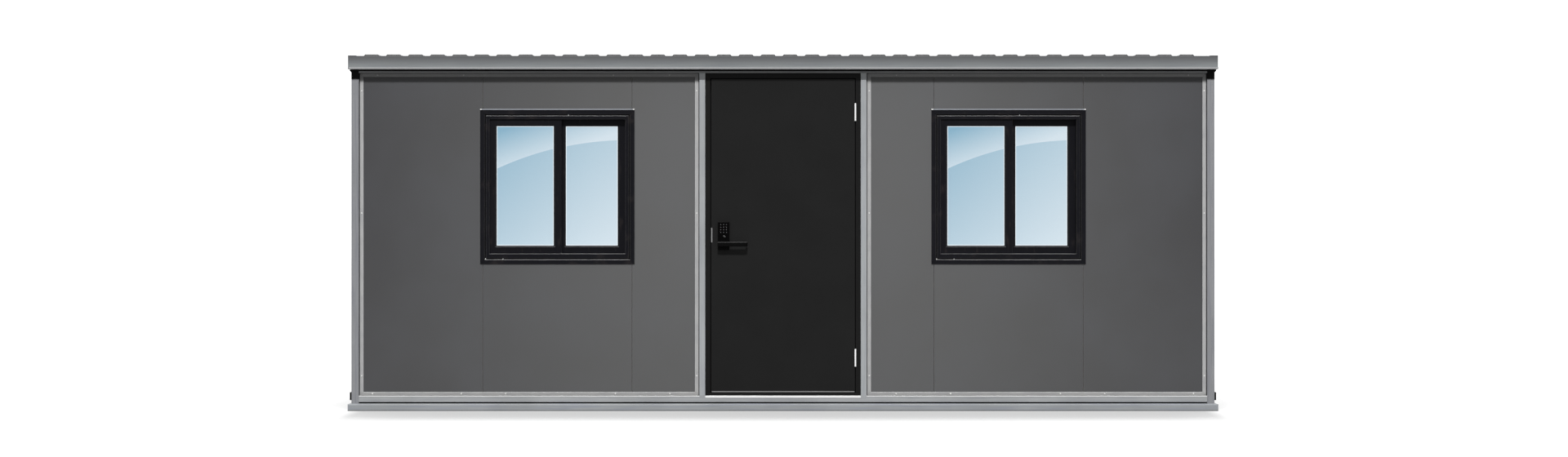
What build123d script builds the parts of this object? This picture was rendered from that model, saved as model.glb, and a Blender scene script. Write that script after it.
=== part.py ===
from build123d import *
import os

os.makedirs("parts", exist_ok=True)

# Portable cabin in millimetres. +X runs along the front, the front wall faces -Y and Z is up.
# The origin is on the ground under the middle of the base.

# Whole cabin
length = 5800
depth = 2500
height = 2380

# Base frame and floor
base_rail_height = 45
base_steel = 4
base_bend = 6
base_foot_width = 55
joist_width = 40
joist_count = 5
joist_spacing = 950
floor_thickness = 18
floor_play = 1

# Wall frame
wall_inset = 60
end_inset = 10
wall_frame_depth = 65
tube_wall = 3
tube_bend = 4
wall_seal_height = 8
wall_seal_reveal = 3
bottom_rail_height = 42
top_rail_height = 40
corner_post_width = 50
post_groove_from_edge = 17
post_groove_width = 2.5
post_groove_depth = 1.2
corner_block_height = 81
corner_wedge_height = 17
foot_seal_low = 67
foot_seal_height = 52

# Wall panels and their trims
panel_thickness = 50
panel_reveal = 13
panel_seam = 2
panel_edge_chamfer = 1
panel_module = 1000
front_seam = 1012
trim_width = 24
trim_thickness = 5
trim_edge_chamfer = 1.2
trim_groove = 6
trim_rail_gap = 2
trim_mitre_gap = 0.8

# Doorway, door frame and leaf
doorway_width = 1041
door_post_width = 39.5
door_frame_setback = 5
door_frame_width = 33.5
door_head_height = 34
door_sill_height = 18
door_stop_width = 15
door_stop_play = 6
door_thickness = 45
door_gap = 5
door_lock_gap = 6.5
door_edge_chamfer = 1.5
threshold_steel = 2
threshold_drop = 12
sweep_height = 7
sweep_thickness = 2
sweep_end_inset = 4

# Door hinges
hinge_radius = 6.25
hinge_length = 120
hinge_pin_radius = 3
hinge_pin_length = 42
hinge_pin_play = 0.15
hinge_gap = 0.3
hinge_stand_off = 0.75
hinge_plate_thickness = 1.8
hinge_plate_depth = 30
hinge_end_chamfer = 1.5
hinge_from_foot = 231
hinge_from_head = 223

# Lock, lever and latch plate
lock_setback = 83.5
lock_width = 78
lock_height = 189
lock_thickness = 24
lock_low = 1073
lock_corner_fillet = 5
lock_edge_chamfer = 2.5
spindle_radius = 4
spindle_play = 0.15
spindle_bore = 11
lever_height = 30
lever_thickness = 13
lever_reach = 160
lever_heel = 40
lever_stand_off = 17
lever_centre = 1112
lever_hub_radius = 13
lever_hub_play = 0.3
lever_return = 12
lever_bend = 14
lever_edge_chamfer = 3
latch_plate_low = 1124
latch_plate_height = 97
latch_plate_thickness = 1.5
latch_front_width = 7
latch_edge_depth = 38

# Sliding windows
window_drop = 764
window_cover = 17.5
window_flange_width = 30
window_flange_thickness = 4
window_play = 2
window_setback = 2
window_groove_width = 10
window_groove_depth = 5
window_lip = 62
window_bottom_lip = 70
window_channel = 50
window_front_lip = 8
window_rib = 4
sash_thickness = 24
sash_side_play = 1.5
sash_edge = 54
sash_stile = 54
sash_rear_stile = 63
sash_meeting_stile = 52
sash_meeting_lap = 27
sash_bottom_rail = 71
sash_edge_chamfer = 1
track_width = 4
track_play = 1
track_bite = 6
glass_thickness = 8
glass_recess = 8
glass_bite = 6
glass_edge_play = 0.5
bead_width = 8
bead_step = 3

# Roof
fascia_height = 88
fascia_lap = 19
fascia_steel = 3
fascia_lip = 26
fascia_nose = 2
fascia_nose_height = 11
end_fascia_flange = 55
rafter_width = 40
rafter_height = 40
rafter_count = 5
rafter_spacing = 950
batten_width = 40
batten_count = 3
batten_spacing = 560
ceiling_thickness = 12
sheet_thickness = 2
rib_depth = 12
rib_pitch = 147
rib_flank = 8
rib_valley = 45
rib_valley_place = -26
sheet_front_inset = 20
sheet_end_play = 1

# Planes and edges that follow from the sizes above, as distances from the middle or the ground
half_length = length / 2
half_depth = depth / 2
wall_face = half_depth - wall_inset
wall_back = wall_face - wall_frame_depth
end_face = half_length - end_inset
end_back = end_face - wall_frame_depth
post_inner = end_face - corner_post_width
panel_face = wall_face - panel_reveal
panel_back = panel_face - panel_thickness
end_panel_face = end_face - panel_reveal
end_panel_back = end_panel_face - panel_thickness
half_doorway = doorway_width / 2
door_post_edge = half_doorway + door_post_width
window_middle = front_seam + panel_module / 2
fascia_top = height - rib_depth
fascia_low = fascia_top - fascia_height
wall_top = fascia_low + fascia_lap
block_low = wall_top - corner_block_height
rail_low = base_rail_height + wall_seal_height
panel_low = rail_low + bottom_rail_height
panel_high = wall_top - top_rail_height
window_height_middle = panel_high - window_drop
sides = (("left", -1), ("right", 1))


def bar(x_span, y_span, z_span, mode=Mode.ADD):
    """Rectangular stretch between the given limits, in the part that is open."""
    with BuildSketch(Plane.XY.offset(z_span[0])) as outline:
        with Locations(((x_span[0] + x_span[1]) / 2, (y_span[0] + y_span[1]) / 2)):
            Rectangle(abs(x_span[1] - x_span[0]), abs(y_span[1] - y_span[0]))
    extrude(outline.sketch, amount=z_span[1] - z_span[0], mode=mode)


def box_section(low, high):
    """Box section of folded steel between two corners, in the sketch that is open."""
    width = abs(high[0] - low[0])
    tall = abs(high[1] - low[1])
    with Locations(((low[0] + high[0]) / 2, (low[1] + high[1]) / 2)):
        RectangleRounded(width, tall, tube_bend)
        Rectangle(width - 2 * tube_wall, tall - 2 * tube_wall, mode=Mode.SUBTRACT)


def folded_section(points, steel, bend):
    """Sheet of one thickness folded along the points, to the left of their direction."""
    with BuildLine() as fold:
        FilletPolyline(*points, radius=bend)
        offset(amount=steel, side=Side.LEFT)
    make_face(fold.edges())


def save(piece, name):
    """Name the piece and write it as a STEP file."""
    piece.label = name
    export_step(piece, f"parts/{name}.step")


# Base rails: open channels folded from plate, whose top flanges carry the wall frame.
# The long rails run the whole length and a plate closes each end.
long_flange = half_depth - wall_back
end_flange = half_length - end_back

with BuildPart() as base_rail_back:
    with BuildSketch(Plane.YZ.offset(-half_length)):
        folded_section(
            [
                (half_depth - base_foot_width, 0),
                (half_depth, 0),
                (half_depth, base_rail_height),
                (half_depth - long_flange, base_rail_height),
            ],
            base_steel,
            base_bend,
        )
    extrude(amount=length)
    for end in (-half_length, half_length - base_steel):
        bar((end, end + base_steel), (wall_back, half_depth), (0, base_rail_height))
base_rail_front = base_rail_back.part.mirror(Plane.XZ)
save(base_rail_back.part, "base_rail_back")
save(base_rail_front, "base_rail_front")

with BuildPart() as base_rail_right:
    with BuildSketch(Plane.XZ.offset(-wall_back)):
        folded_section(
            [
                (half_length - base_foot_width, 0),
                (half_length, 0),
                (half_length, base_rail_height),
                (half_length - end_flange, base_rail_height),
            ],
            base_steel,
            base_bend,
        )
    extrude(amount=2 * wall_back)
base_rail_left = base_rail_right.part.mirror(Plane.YZ)
save(base_rail_right.part, "base_rail_right")
save(base_rail_left, "base_rail_left")

# Floor: box joists between the long rails, level with their tops, and a board deck on them.
with BuildPart() as floor_joists:
    with BuildSketch(Plane.XZ.offset(-wall_back)):
        with GridLocations(joist_spacing, 0, joist_count, 1):
            box_section((-joist_width / 2, 0), (joist_width / 2, base_rail_height))
    extrude(amount=2 * wall_back)
save(floor_joists.part, "floor_joists")

with BuildPart() as floor_deck:
    with BuildSketch(Plane.XY.offset(base_rail_height)):
        Rectangle(2 * (end_back - floor_play), 2 * (wall_back - floor_play))
    extrude(amount=floor_thickness)
save(floor_deck.part, "floor_deck")

# Rubber strips between the base and the bottom rails of the walls.
with BuildPart() as wall_seals:
    seal_span = (base_rail_height, rail_low)
    for sign in (-1, 1):
        y_span = (sign * (wall_face - wall_seal_reveal), sign * (wall_back + wall_seal_reveal))
        x_span = (sign * (end_face - wall_seal_reveal), sign * (end_back + wall_seal_reveal))
        bar((-post_inner, post_inner), y_span, seal_span)
        bar(x_span, (-wall_back, wall_back), seal_span)
save(wall_seals.part, "wall_seals")

# Corner posts: box sections on the base, with a pressed groove down the long wall's face.
with BuildPart() as corner_posts_back:
    with BuildSketch(Plane.XY.offset(base_rail_height)):
        box_section((post_inner, wall_back), (end_face, wall_face))
        with Locations((end_face - post_groove_from_edge, wall_face - post_groove_depth / 2)):
            Rectangle(post_groove_width, post_groove_depth, mode=Mode.SUBTRACT)
        mirror(about=Plane.YZ)
    extrude(amount=block_low - base_rail_height)
corner_posts_front = corner_posts_back.part.mirror(Plane.XZ)
save(corner_posts_back.part, "corner_posts_back")
save(corner_posts_front, "corner_posts_front")

# Corner blocks: black blocks between each post and the roof, with a wedge out to the roof's end.
with BuildPart() as corner_blocks:
    with BuildSketch(Plane.XZ.offset(-wall_face)):
        with BuildLine():
            Polyline(
                (post_inner, block_low),
                (end_face, block_low),
                (end_face, fascia_low - corner_wedge_height),
                (half_length, fascia_low - corner_wedge_height + end_inset),
                (half_length, fascia_low),
                (end_face, fascia_low),
                (end_face, wall_top),
                (post_inner, wall_top),
                close=True,
            )
        make_face()
        mirror(about=Plane.YZ)
    extrude(amount=wall_frame_depth)
    mirror(about=Plane.XZ)
save(corner_blocks.part, "corner_blocks")

# Bottom and top rails of the wall frame: box sections between the corner posts.
with BuildPart() as front_bottom_rail:
    with BuildSketch(Plane.YZ.offset(-post_inner)):
        box_section((-wall_face, rail_low), (-wall_back, panel_low))
    extrude(amount=2 * post_inner)
save(front_bottom_rail.part, "front_bottom_rail")

with BuildPart() as front_top_rail:
    with BuildSketch(Plane.YZ.offset(-post_inner)):
        box_section((-wall_face, panel_high), (-wall_back, wall_top))
    extrude(amount=2 * post_inner)
save(front_top_rail.part, "front_top_rail")

with BuildPart() as back_wall_rails:
    with BuildSketch(Plane.YZ.offset(-post_inner)):
        box_section((wall_back, rail_low), (wall_face, panel_low))
        box_section((wall_back, panel_high), (wall_face, wall_top))
    extrude(amount=2 * post_inner)
save(back_wall_rails.part, "back_wall_rails")

with BuildPart() as right_end_rails:
    with BuildSketch(Plane.XZ.offset(-wall_back)):
        box_section((end_back, rail_low), (end_face, panel_low))
        box_section((end_back, panel_high), (end_face, wall_top))
    extrude(amount=2 * wall_back)
left_end_rails = right_end_rails.part.mirror(Plane.YZ)
save(right_end_rails.part, "right_end_rails")
save(left_end_rails, "left_end_rails")

# Rubber strips along the foot of each end wall, flush with the ends of the base.
with BuildPart() as end_foot_seals:
    for sign in (-1, 1):
        bar(
            (sign * end_face, sign * half_length),
            (-wall_face, wall_face),
            (foot_seal_low, foot_seal_low + foot_seal_height),
        )
save(end_foot_seals.part, "end_foot_seals")

# Door posts: box sections from the bottom rail to the top rail.
for side, sign in sides:
    with BuildPart() as door_post:
        with BuildSketch(Plane.XY.offset(panel_low)):
            box_section((sign * half_doorway, -wall_face), (sign * door_post_edge, -wall_back))
        extrude(amount=panel_high - panel_low)
    save(door_post.part, f"door_post_{side}")

# Wall panels: insulated sheets on a one metre module, with a fine seam between neighbours.
# The front panels leave out one whole module for the window, apart from its sill and head.
half_seam = panel_seam / 2
window_low = window_height_middle - panel_module / 2
window_high = window_height_middle + panel_module / 2


def seam_edges(piece):
    """Outer vertical corners of the panels, where one meets the next."""
    return piece.edges().filter_by(Axis.Z)


for side, sign in sides:
    with BuildPart() as front_panels:
        y_span = (-panel_face, -panel_back)
        inner_span = (sign * door_post_edge, sign * (front_seam - half_seam))
        window_span = (sign * (front_seam + half_seam), sign * (front_seam + panel_module - half_seam))
        outer_span = (sign * (front_seam + panel_module + half_seam), sign * post_inner)
        bar(inner_span, y_span, (panel_low, panel_high))
        bar(window_span, y_span, (panel_low, window_low))
        bar(window_span, y_span, (window_high, panel_high))
        bar(outer_span, y_span, (panel_low, panel_high))
        chamfer(seam_edges(front_panels).group_by(Axis.Y)[0], panel_edge_chamfer)
    save(front_panels.part, f"front_{side}_panels")


def module_spans(half_run, middle_seam):
    """Panel spans of a plain wall, in whole modules from its middle out to both ends."""
    first = 0 if middle_seam else panel_module / 2
    half_seams = [first]
    while half_seams[-1] + panel_module < half_run:
        half_seams.append(half_seams[-1] + panel_module)
    seams = sorted({-half_run, half_run, *half_seams, *(-seam for seam in half_seams)})
    lows = [-half_run, *(seam + half_seam for seam in seams[1:-1])]
    highs = [*(seam - half_seam for seam in seams[1:-1]), half_run]
    return list(zip(lows, highs))


with BuildPart() as back_panels:
    for x_span in module_spans(post_inner, True):
        bar(x_span, (panel_back, panel_face), (panel_low, panel_high))
    chamfer(seam_edges(back_panels).group_by(Axis.Y)[-1], panel_edge_chamfer)
save(back_panels.part, "back_panels")

with BuildPart() as right_end_panels:
    for y_span in module_spans(wall_back, False):
        bar((end_panel_back, end_panel_face), y_span, (panel_low, panel_high))
    chamfer(seam_edges(right_end_panels).group_by(Axis.X)[-1], panel_edge_chamfer)
left_end_panels = right_end_panels.part.mirror(Plane.YZ)
save(right_end_panels.part, "right_end_panels")
save(left_end_panels, "left_end_panels")


# Trims: flat metal strips screwed round the edge of each bay, with mitred corners.
def bay_trims(plane, run_low, run_high, outward):
    """Four mitred strips on the face of one bay, whose plane lies on the panels."""
    low = panel_low + trim_rail_gap
    high = panel_high - trim_rail_gap
    width = run_high - run_low
    half_trim = trim_width / 2
    with BuildPart() as trims:
        with BuildSketch(plane):
            with Locations(((run_low + run_high) / 2, (low + high) / 2)):
                Rectangle(width, high - low)
                Rectangle(width - 2 * trim_width, high - low - 2 * trim_width, mode=Mode.SUBTRACT)
        extrude(amount=trim_thickness)
        chamfer(trims.faces().sort_by(outward)[-1].edges(), trim_edge_chamfer)
        with BuildSketch(plane):
            for x, z, turn in (
                (run_low + half_trim, low + half_trim, 45),
                (run_high - half_trim, low + half_trim, -45),
                (run_low + half_trim, high - half_trim, -45),
                (run_high - half_trim, high - half_trim, 45),
            ):
                with Locations((x, z)):
                    Rectangle(2 * trim_width, trim_mitre_gap, rotation=turn)
        extrude(amount=trim_thickness, mode=Mode.SUBTRACT)
    return trims.part


front_plane = Plane.XZ.offset(panel_face)
inner_run = door_post_edge + trim_groove
outer_run = post_inner - trim_groove
front_trims = Compound(
    children=[
        bay_trims(front_plane, inner_run, outer_run, -Axis.Y),
        bay_trims(front_plane, -outer_run, -inner_run, -Axis.Y),
    ]
)
save(front_trims, "front_trims")

back_trims = bay_trims(front_plane, -outer_run, outer_run, -Axis.Y).mirror(Plane.XZ)
save(back_trims, "back_trims")

end_run = wall_back - trim_groove
right_end_trims = bay_trims(Plane.YZ.offset(end_panel_face), -end_run, end_run, Axis.X)
end_trims = Compound(children=[right_end_trims, right_end_trims.mirror(Plane.YZ)])
save(end_trims, "end_trims")

# Threshold: a folded aluminium strip under the door frame, with a nose over the rail's face.
threshold_top = panel_low + threshold_steel
with BuildPart() as door_threshold:
    with BuildSketch(Plane.YZ.offset(-half_doorway)):
        with BuildLine():
            Polyline(
                (-wall_back, panel_low),
                (-wall_back, threshold_top),
                (-wall_face - threshold_steel, threshold_top),
                (-wall_face - threshold_steel, threshold_top - threshold_steel - threshold_drop),
                (-wall_face, threshold_top - threshold_steel - threshold_drop),
                (-wall_face, panel_low),
                close=True,
            )
        make_face()
    extrude(amount=doorway_width)
save(door_threshold.part, "door_threshold")

# Door frame: a closed frame of folded steel with a stop behind the leaf.
leaf_face = wall_face - door_frame_setback
leaf_back = leaf_face - door_thickness
stop_face = leaf_back - door_stop_play
clear_half = half_doorway - door_frame_width
sill_top = threshold_top + door_sill_height
head_low = panel_high - door_head_height
stop_half = clear_half - door_stop_width
stop_head = head_low - door_stop_width
with BuildPart() as door_frame:
    bar((-half_doorway, half_doorway), (-leaf_face, -wall_back), (threshold_top, panel_high))
    bar((-clear_half, clear_half), (-leaf_face, -stop_face), (sill_top, head_low), Mode.SUBTRACT)
    bar((-stop_half, stop_half), (-stop_face, -wall_back), (sill_top, stop_head), Mode.SUBTRACT)
save(door_frame.part, "door_frame")

# Door leaf: a flat steel leaf with a bore for the lever's spindle and a pocket for the latch plate.
leaf_free_edge = -clear_half + door_lock_gap
leaf_hinge_edge = clear_half - door_gap
leaf_low = sill_top + door_gap
leaf_high = head_low - door_gap
lock_x = leaf_free_edge + lock_setback
latch_span = (latch_plate_low, latch_plate_low + latch_plate_height)


def latch_angle(mode=Mode.ADD):
    """The latch plate's angle: one leg down the free edge and one turned on to the face."""
    edge_leg = (leaf_free_edge, leaf_free_edge + latch_plate_thickness)
    front_leg = (leaf_free_edge, leaf_free_edge + latch_front_width)
    bar(edge_leg, (-leaf_face, -leaf_face + latch_edge_depth), latch_span, mode)
    bar(front_leg, (-leaf_face, -leaf_face + latch_plate_thickness), latch_span, mode)


with BuildPart() as door_leaf:
    bar((leaf_free_edge, leaf_hinge_edge), (-leaf_face, -leaf_back), (leaf_low, leaf_high))
    chamfer(door_leaf.faces().sort_by(Axis.Y)[0].edges(), door_edge_chamfer)
    latch_angle(Mode.SUBTRACT)
    with BuildSketch(Plane.XZ.offset(leaf_back)):
        with Locations((lock_x, lever_centre)):
            Circle(spindle_bore)
    extrude(amount=door_thickness, mode=Mode.SUBTRACT)
save(door_leaf.part, "door_leaf")

with BuildPart() as latch_plate:
    latch_angle()
save(latch_plate.part, "latch_plate")

# Sweep strip along the foot of the leaf.
with BuildPart() as door_sweep:
    bar(
        (leaf_free_edge + sweep_end_inset, leaf_hinge_edge - sweep_end_inset),
        (-leaf_face - sweep_thickness, -leaf_face),
        (leaf_low, leaf_low + sweep_height),
    )
save(door_sweep.part, "door_sweep")

# Lift-off hinges: the lower half and its pin are on the frame, the upper half is on the leaf.
hinge_x = leaf_hinge_edge + door_gap / 2
hinge_y = -(leaf_face + hinge_stand_off + hinge_radius)
half_hinge = (hinge_length - hinge_gap) / 2
hinge_heights = (leaf_low + hinge_from_foot, leaf_high - hinge_from_head)
plate_span = (hinge_y + (hinge_radius + hinge_pin_radius) / 2, -leaf_face + hinge_plate_depth)
upright = (Align.CENTER, Align.CENTER, Align.MIN)

with BuildPart() as hinge_halves_fixed:
    for middle in hinge_heights:
        low = middle - hinge_length / 2
        with Locations((hinge_x, hinge_y, low)):
            barrel = Cylinder(hinge_radius, half_hinge, align=upright)
            Cylinder(hinge_pin_radius, half_hinge + hinge_pin_length, align=upright)
        chamfer(barrel.edges().filter_by(GeomType.CIRCLE).sort_by(Axis.Z)[0], hinge_end_chamfer)
        x_span = (clear_half - hinge_plate_thickness, clear_half)
        bar(x_span, plate_span, (low + hinge_end_chamfer, low + half_hinge))
save(hinge_halves_fixed.part, "hinge_halves_fixed")

with BuildPart() as hinge_halves_moving:
    for middle in hinge_heights:
        low = middle + hinge_gap / 2
        high = middle + hinge_length / 2
        with Locations((hinge_x, hinge_y, low)):
            barrel = Cylinder(hinge_radius, half_hinge, align=upright)
        chamfer(barrel.edges().filter_by(GeomType.CIRCLE).sort_by(Axis.Z)[-1], hinge_end_chamfer)
        x_span = (leaf_hinge_edge, leaf_hinge_edge + hinge_plate_thickness)
        bar(x_span, plate_span, (low, high - hinge_end_chamfer))
        with Locations((hinge_x, hinge_y, low)):
            Cylinder(
                hinge_pin_radius + hinge_pin_play,
                hinge_pin_length + hinge_pin_play,
                align=upright,
                mode=Mode.SUBTRACT,
            )
save(hinge_halves_moving.part, "hinge_halves_moving")

# Lock: a black case on each face of the leaf, bored for the spindle.
leaf_middle = (leaf_face + leaf_back) / 2
lock_face = leaf_face + lock_thickness
with BuildPart() as door_lock:
    with BuildSketch(Plane.XZ.offset(leaf_face)):
        with Locations((lock_x, lock_low + lock_height / 2)):
            RectangleRounded(lock_width, lock_height, lock_corner_fillet)
        with Locations((lock_x, lever_centre)):
            Circle(spindle_radius + spindle_play, mode=Mode.SUBTRACT)
    extrude(amount=lock_thickness)
    front_rim = door_lock.faces().sort_by(Axis.Y)[0].outer_wire().edges()
    chamfer(front_rim, lock_edge_chamfer)
    mirror(about=Plane.XZ.offset(leaf_middle))
save(door_lock.part, "door_lock")

# Lever: one handle each side on a common spindle. Each turns back to the leaf at its tip.
lever_back = lock_face + lever_stand_off
lever_face = lever_back + lever_thickness
with BuildPart() as door_lever:
    with BuildSketch(Plane.XY.offset(lever_centre - lever_height / 2)):
        folded_section(
            [
                (lock_x - lever_heel, -lever_face),
                (lock_x + lever_reach, -lever_face),
                (lock_x + lever_reach, -lever_back + lever_return),
            ],
            lever_thickness,
            lever_bend,
        )
    extrude(amount=lever_height)
    chamfer(door_lever.faces().filter_by(Axis.Z).edges(), lever_edge_chamfer)
    with BuildSketch(Plane.XZ.offset(lock_face + lever_hub_play)):
        with Locations((lock_x, lever_centre)):
            Circle(lever_hub_radius)
    extrude(amount=lever_stand_off - lever_hub_play)
    with BuildSketch(Plane.XZ.offset(leaf_middle)):
        with Locations((lock_x, lever_centre)):
            Circle(spindle_radius)
    extrude(amount=lever_back - leaf_middle)
    mirror(about=Plane.XZ.offset(leaf_middle))
save(door_lever.part, "door_lever")

# Sliding windows: a stepped frame with two channels, and two sashes that stand on its tracks.
window_half = panel_module / 2 + window_cover
flange_face = panel_face + window_flange_thickness
frame_face = panel_face + window_setback
channel_depth = sash_thickness + 2 * sash_side_play
front_channel = (frame_face - window_front_lip - channel_depth, frame_face - window_front_lip)
rear_channel = (front_channel[0] - window_rib - channel_depth, front_channel[0] - window_rib)
frame_back = rear_channel[0] - window_rib
lip_half = window_half - window_lip
channel_half = window_half - window_channel
sash_low = window_height_middle - window_half + sash_edge
sash_high = window_height_middle + window_half - sash_edge


def square(x, half, depth_span, mode=Mode.ADD):
    """Square stretch round the window's middle, between two distances from the cabin's middle."""
    bar(
        (x - half, x + half),
        (-depth_span[1], -depth_span[0]),
        (window_height_middle - half, window_height_middle + half),
        mode,
    )


def window_frame(x):
    """Frame with a flange over the panels, a groove, two channels and a track rib in each."""
    groove_outer = window_half - window_flange_width
    groove_span = (frame_face - window_groove_depth, flange_face)
    lip_low = window_height_middle - window_half + window_bottom_lip
    channel_low = window_height_middle - channel_half
    with BuildPart() as frame:
        square(x, window_half, (panel_face, flange_face))
        square(x, panel_module / 2 - window_play, (frame_back, frame_face))
        square(x, groove_outer, (frame_face, flange_face), Mode.SUBTRACT)
        with BuildSketch(Plane.XZ.offset(groove_span[0])) as groove:
            with Locations((x, window_height_middle)):
                Rectangle(2 * groove_outer, 2 * groove_outer)
                inner = 2 * (groove_outer - window_groove_width)
                Rectangle(inner, inner, mode=Mode.SUBTRACT)
        extrude(groove.sketch, amount=groove_span[1] - groove_span[0], mode=Mode.SUBTRACT)
        bar(
            (x - lip_half, x + lip_half),
            (-flange_face, -frame_back),
            (lip_low, window_height_middle + lip_half),
            Mode.SUBTRACT,
        )
        for channel in (front_channel, rear_channel):
            square(x, channel_half, channel, Mode.SUBTRACT)
            middle = (channel[0] + channel[1]) / 2
            bar(
                (x - channel_half, x + channel_half),
                (-middle - track_width / 2, -middle + track_width / 2),
                (channel_low, sash_low + track_bite),
            )
    return frame.part


def sash(x_span, stiles, face):
    """Glazed sash with a stepped bead round the pane and a groove for the track, and its pane."""
    opening_x = (x_span[0] + stiles[0], x_span[1] - stiles[1])
    opening_z = (sash_low + sash_bottom_rail, sash_high - sash_stile)
    pane_face = face - glass_recess
    middle = face - sash_thickness / 2
    half_groove = track_width / 2 + track_play

    def opening(grow, depth_span, mode=Mode.SUBTRACT):
        bar(
            (opening_x[0] - grow, opening_x[1] + grow),
            (-depth_span[1], -depth_span[0]),
            (opening_z[0] - grow, opening_z[1] + grow),
            mode,
        )

    with BuildPart() as leaf:
        bar(x_span, (-face, -face + sash_thickness), (sash_low, sash_high))
        chamfer(leaf.faces().sort_by(Axis.Y)[0].edges(), sash_edge_chamfer)
        opening(0, (face - sash_thickness, face))
        opening(bead_width, (face - bead_step, face))
        opening(glass_bite, (pane_face - glass_thickness, pane_face))
        bar(
            x_span,
            (-middle - half_groove, -middle + half_groove),
            (sash_low, sash_low + track_bite),
            Mode.SUBTRACT,
        )
    with BuildPart() as pane:
        opening(glass_bite - glass_edge_play, (pane_face - glass_thickness, pane_face), Mode.ADD)
    return leaf.part, pane.part


for side, sign in sides:
    x = sign * window_middle
    half_stile = sash_meeting_stile / 2
    front_sash, front_pane = sash(
        (x - window_half + sash_edge, x + half_stile),
        (sash_stile, sash_meeting_stile),
        front_channel[1] - sash_side_play,
    )
    rear_sash, rear_pane = sash(
        (x + half_stile - sash_meeting_lap, x + window_half - sash_edge),
        (sash_meeting_stile, sash_rear_stile),
        rear_channel[1] - sash_side_play,
    )
    save(window_frame(x), f"window_{side}_frame")
    save(front_sash, f"window_{side}_front_sash")
    save(rear_sash, f"window_{side}_rear_sash")
    save(Compound(children=[front_pane, rear_pane]), f"window_{side}_glass")

# Roof frame: box beams on the walls, rafters across and battens under the sheet.
with BuildPart() as roof_long_beams:
    with BuildSketch(Plane.YZ.offset(-end_face)):
        box_section((wall_back, wall_top), (wall_face, fascia_top - fascia_steel))
        mirror(about=Plane.YZ)
    extrude(amount=2 * end_face)
save(roof_long_beams.part, "roof_long_beams")

with BuildPart() as roof_end_beams:
    with BuildSketch(Plane.XZ.offset(-wall_back)):
        box_section((end_back, wall_top), (end_face, fascia_top))
        mirror(about=Plane.YZ)
    extrude(amount=2 * wall_back)
save(roof_end_beams.part, "roof_end_beams")

with BuildPart() as roof_rafters:
    with BuildSketch(Plane.XZ.offset(-wall_back)):
        with GridLocations(rafter_spacing, 0, rafter_count, 1):
            box_section((-rafter_width / 2, wall_top), (rafter_width / 2, wall_top + rafter_height))
    extrude(amount=2 * wall_back)
save(roof_rafters.part, "roof_rafters")

with BuildPart() as roof_battens:
    with BuildSketch(Plane.YZ.offset(-end_back)):
        with GridLocations(batten_spacing, 0, batten_count, 1):
            box_section((-batten_width / 2, wall_top + rafter_height), (batten_width / 2, fascia_top))
    extrude(amount=2 * end_back)
save(roof_battens.part, "roof_battens")

# Ceiling board under the rafters, inside the top rails.
with BuildPart() as ceiling_panel:
    with BuildSketch(Plane.XY.offset(wall_top - ceiling_thickness)):
        Rectangle(2 * (end_back - floor_play), 2 * (wall_back - floor_play))
    extrude(amount=ceiling_thickness)
save(ceiling_panel.part, "ceiling_panel")


# Roof edge: folded fascias with a hemmed nose at the foot and a flange back over the beams.
def fascia_section(face, flange, top):
    """Section of a fascia whose nose stands at the face and whose flange runs back at the top."""
    web = face - fascia_nose
    with BuildLine() as outline:
        Polyline(
            (web - fascia_steel, fascia_low),
            (face, fascia_low),
            (face, fascia_low + fascia_nose_height),
            (web, fascia_low + fascia_nose_height + fascia_nose),
            (web, top),
            (flange, top),
            (flange, top - fascia_steel),
            (web - fascia_steel, top - fascia_steel),
            close=True,
        )
    make_face(outline.edges())


fascia_end = half_length - fascia_nose - fascia_steel
with BuildPart() as roof_fascia_back:
    with BuildSketch(Plane.YZ.offset(-fascia_end)):
        fascia_section(half_depth, wall_back, fascia_top)
        with Locations((half_depth - fascia_lip, fascia_low)):
            Rectangle(fascia_lip - fascia_nose, fascia_steel, align=(Align.MIN, Align.MIN))
    extrude(amount=2 * fascia_end)
roof_fascia_front = roof_fascia_back.part.mirror(Plane.XZ)
save(roof_fascia_back.part, "roof_fascia_back")
save(roof_fascia_front, "roof_fascia_front")

with BuildPart() as roof_fascia_ends:
    with BuildSketch(Plane.XZ.offset(-half_depth)):
        fascia_section(half_length, half_length - end_fascia_flange, fascia_top + fascia_steel)
        mirror(about=Plane.YZ)
    extrude(amount=depth)
save(roof_fascia_ends.part, "roof_fascia_ends")

# Roof sheet: profiled steel whose ribs run from front to back, lying between the end flanges.
# The ribs start from one valley near the middle, and as many whole ribs as fit are on each side.
sheet_half = half_length - end_fascia_flange - sheet_end_play
rib_half = (rib_pitch - rib_valley) / 2
rib_rise = rib_depth - sheet_thickness
middle_rib = rib_valley_place + rib_pitch / 2
ribs_left = int((sheet_half - rib_half + middle_rib) // rib_pitch)
ribs_right = int((sheet_half - rib_half - middle_rib) // rib_pitch)


def sheet_line(z):
    """Points of the ribbed line from one end of the sheet to the other."""
    points = [(-sheet_half, z)]
    for step in range(-ribs_left, ribs_right + 1):
        x = middle_rib + step * rib_pitch
        points += [
            (x - rib_half, z),
            (x - rib_half + rib_flank, z + rib_rise),
            (x + rib_half - rib_flank, z + rib_rise),
            (x + rib_half, z),
        ]
    points.append((sheet_half, z))
    return points


with BuildPart() as roof_sheet:
    with BuildSketch(Plane.XZ.offset(-half_depth + sheet_front_inset)):
        with BuildLine():
            Polyline(
                *sheet_line(fascia_top),
                *reversed(sheet_line(fascia_top + sheet_thickness)),
                close=True,
            )
        make_face()
    extrude(amount=depth - 2 * sheet_front_inset)
save(roof_sheet.part, "roof_sheet")
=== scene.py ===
import math

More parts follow.
